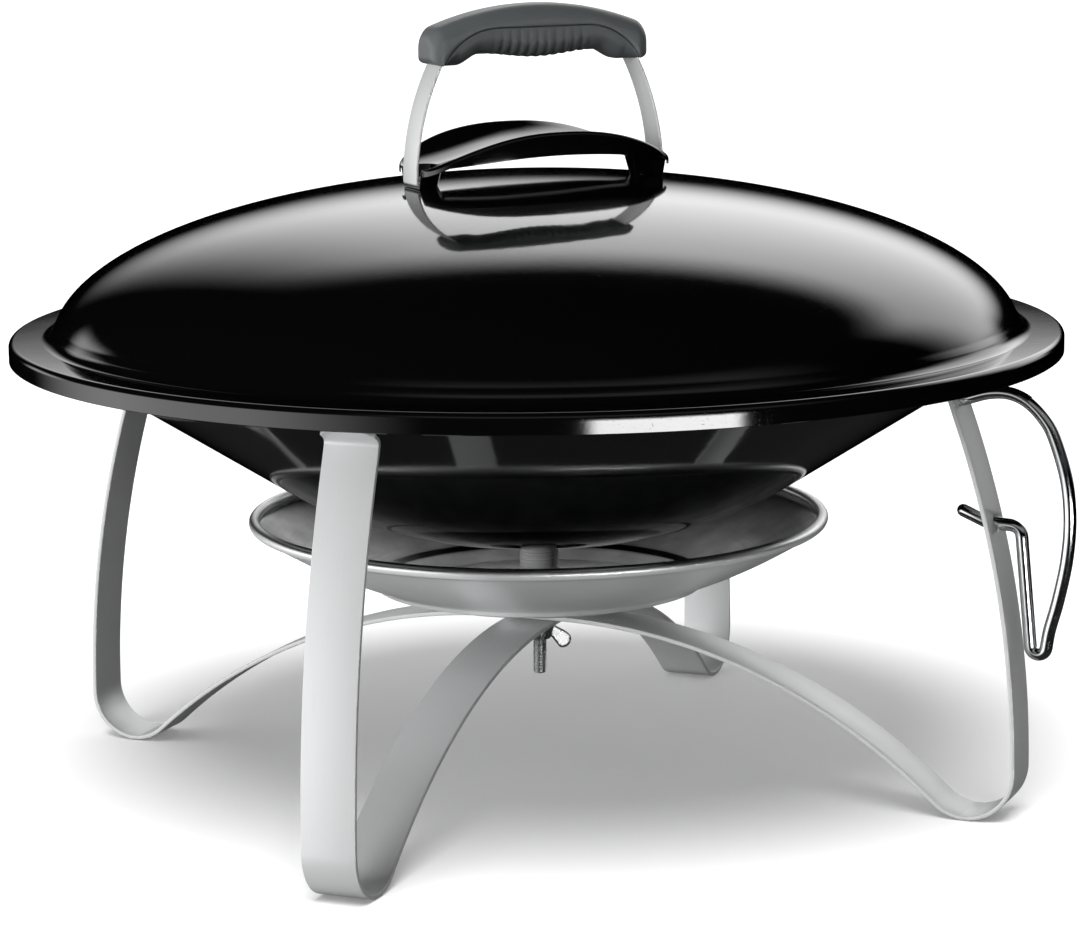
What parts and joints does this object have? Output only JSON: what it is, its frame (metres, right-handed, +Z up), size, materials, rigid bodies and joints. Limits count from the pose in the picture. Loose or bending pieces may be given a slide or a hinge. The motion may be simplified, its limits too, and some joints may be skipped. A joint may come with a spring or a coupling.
{
  "type": "fire_bowl",
  "caption": "round enamelled fire bowl with domed lift-off lid, looped handle over a heat shield, two crossed flat-bar legs, ash pan and wire lid hanger",
  "frame": {"origin": "on the floor, under the centre of the bowl", "axes": "+Z up; the four legs stand on the diagonals, and the one at +X -Y carries the wire lid hanger; the grip lies nearly along X"},
  "size_m": [0.75, 0.75, 0.5599],
  "materials": {
    "black_enamel": "gloss",
    "gloss_shield": "gloss",
    "satin_strap": "satin",
    "satin_aluminium": "satin",
    "bright_chrome": "mirror",
    "zinc": "satin",
    "grey_nylon": "matte",
    "ribbed_nylon": "matte",
    "grate_steel": "satin"
  },
  "bodies": {
    "base": {"bowl": "black_enamel", "ash_pan": "satin_aluminium", "spacer_tube": "bright_chrome", "centre_stud": "zinc", "stud_washer": "zinc", "leg_strap_upper": "satin_strap", "leg_strap_lower": "satin_strap", "lid_hanger": "bright_chrome"},
    "lid_with_handle": {"lid": "black_enamel", "handle_grip_upper": "grey_nylon", "handle_grip_lower": "ribbed_nylon", "handle_bracket": "satin_strap", "heat_shield": "gloss_shield", "handle_bolt_left": "zinc", "handle_bolt_right": "zinc", "handle_washer_left": "zinc", "handle_washer_right": "zinc", "handle_nut_left": "zinc", "handle_nut_right": "zinc", "grip_screw_left": "zinc", "grip_screw_right": "zinc"},
    "grate": {"fire_grate": "grate_steel"},
    "loose_washer": {"strap_washer": "zinc"},
    "nut": {"wing_nut": "zinc"}
  },
  "joints": [
    {"name": "lid_lift", "type": "slide", "parent": "base", "child": "lid_with_handle", "axis": [0, 0, 1], "range_m": [0, 0.3]},
    {"name": "grate_lift", "type": "slide", "parent": "base", "child": "grate", "axis": [0, 0, 1], "range_m": [0, 0.12]},
    {"name": "nut_drop", "type": "slide", "parent": "base", "child": "loose_washer", "axis": [0, 0, -1], "range_m": [0, 0.006]},
    {"name": "nut_spin", "type": "hinge", "parent": "loose_washer", "child": "nut", "pos_m": [0, 0, 0.1], "axis": [0, 0, -1], "range_deg": [0, 1440]}
  ],
  "couplings": [
    {"joint": "nut_drop", "follows": "nut_spin", "m_per_rad": 0.00023873}
  ]
}
